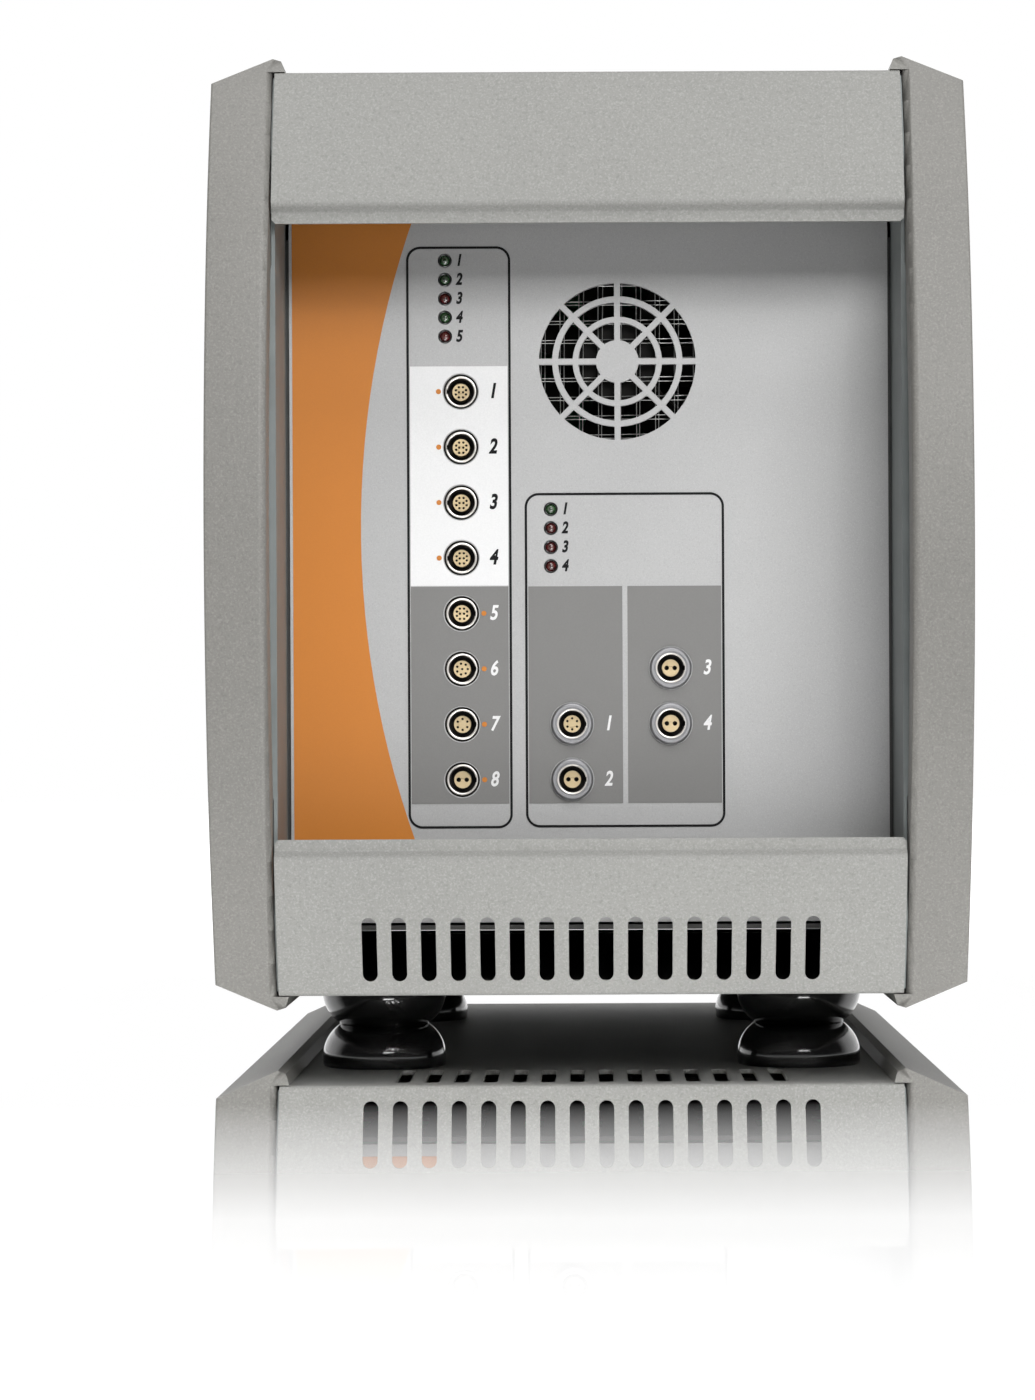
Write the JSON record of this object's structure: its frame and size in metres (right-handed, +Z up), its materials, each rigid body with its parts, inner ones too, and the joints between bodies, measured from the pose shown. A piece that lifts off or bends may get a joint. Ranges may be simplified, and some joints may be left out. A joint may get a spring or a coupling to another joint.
{
  "type": "potentiostat",
  "caption": "Benchtop potentiostat in a bowed grey case with side cheeks, a recessed socket panel, fans, feet and a mains inlet.",
  "frame": {"origin": "centre of the footprint on the bench", "axes": "+Z up, -Y towards the front panel, +X to the right seen from the front"},
  "size_m": [0.244, 0.45, 0.3194],
  "materials": {
    "cheek_grey": "fine textured grey powder coat",
    "cover_grey": "fine textured grey powder coat",
    "chassis": "plain zinc-plated or passivated sheet",
    "panel_silver": "fine grained silver grey",
    "rear_sheet": "plain sheet",
    "print_orange": "screen print",
    "print_white": "screen print",
    "print_grey": "screen print",
    "print_black": "screen print",
    "nickel": "satin nickel plate",
    "insert_tan": "moulded tan polymer",
    "lamp_green": "dark green tinted lens",
    "lamp_red": "dark red tinted lens",
    "black_plastic": "moulded black",
    "rocker_black": "moulded gloss black",
    "mesh_steel": "bright wire",
    "pin_metal": "nickel plated",
    "jack_metal": "tin plated shield",
    "board_green": "solder mask",
    "sink_black": "black anodised",
    "supply_case": "plated sheet",
    "foot_black": "glossy black moulding",
    "screw_steel": "zinc plated"
  },
  "bodies": {
    "case": {"left_cheek": "cheek_grey", "right_cheek": "cheek_grey", "top_cover": "cover_grey", "bottom_cover": "cover_grey", "left_side_wall": "chassis", "right_side_wall": "chassis", "lower_shelf": "chassis", "upper_shelf": "chassis", "panel_brackets": "chassis", "socket_plate": "chassis", "front_panel": "panel_silver", "rear_panel": "rear_sheet", "orange_print": "print_orange", "white_field": "print_white", "grey_fields": "print_grey", "frame_lines": "print_black", "pstat_socket_1": "nickel", "pstat_socket_2": "nickel", "pstat_socket_3": "nickel", "pstat_socket_4": "nickel", "pstat_socket_5": "nickel", "pstat_socket_6": "nickel", "pstat_socket_7": "nickel", "pstat_socket_8": "nickel", "booster_socket_1": "nickel", "booster_socket_2": "nickel", "booster_socket_3": "nickel", "booster_socket_4": "nickel", "socket_nuts": "nickel", "earth_stud": "nickel", "earth_nut": "nickel", "signal_inserts": "insert_tan", "power_inserts": "insert_tan", "green_lamps": "lamp_green", "red_lamps": "lamp_red", "lamp_holders": "black_plastic", "front_fan_frame": "black_plastic", "rear_fan_frame": "black_plastic", "mains_inlet": "black_plastic", "card_guides": "black_plastic", "wire_mesh": "mesh_steel", "fan_guard": "mesh_steel", "inlet_pins": "pin_metal", "network_jack": "jack_metal", "pstat_board": "board_green", "booster_board": "board_green", "backplane": "board_green", "heat_sink": "sink_black", "power_supply": "supply_case", "front_left_foot": "foot_black", "front_right_foot": "foot_black", "rear_left_foot": "foot_black", "rear_right_foot": "foot_black", "foot_screws": "screw_steel", "fan_screws": "screw_steel"},
    "front_rotor": {"front_fan_rotor": "black_plastic"},
    "rear_rotor": {"rear_fan_rotor": "black_plastic"},
    "fuse_drawer_body": {"fuse_drawer": "rocker_black"},
    "rocker_body": {"power_rocker": "rocker_black"}
  },
  "joints": [
    {"name": "front_fan_spin", "type": "hinge", "parent": "case", "child": "front_rotor", "pos_m": [0.0096, -0.14, 0.2235], "axis": [0, 1, 0], "continuous": true},
    {"name": "rear_fan_spin", "type": "hinge", "parent": "case", "child": "rear_rotor", "pos_m": [0, 0.2, 0.2266], "axis": [0, 1, 0], "continuous": true},
    {"name": "fuse_drawer_slide", "type": "slide", "parent": "case", "child": "fuse_drawer_body", "axis": [0, 1, 0], "range_m": [0, 0.018]},
    {"name": "power_rocker_tilt", "type": "hinge", "parent": "case", "child": "rocker_body", "pos_m": [-0.058, 0.2145, 0.1126], "axis": [-1, 0, 0], "range_deg": [0, 16]}
  ]
}
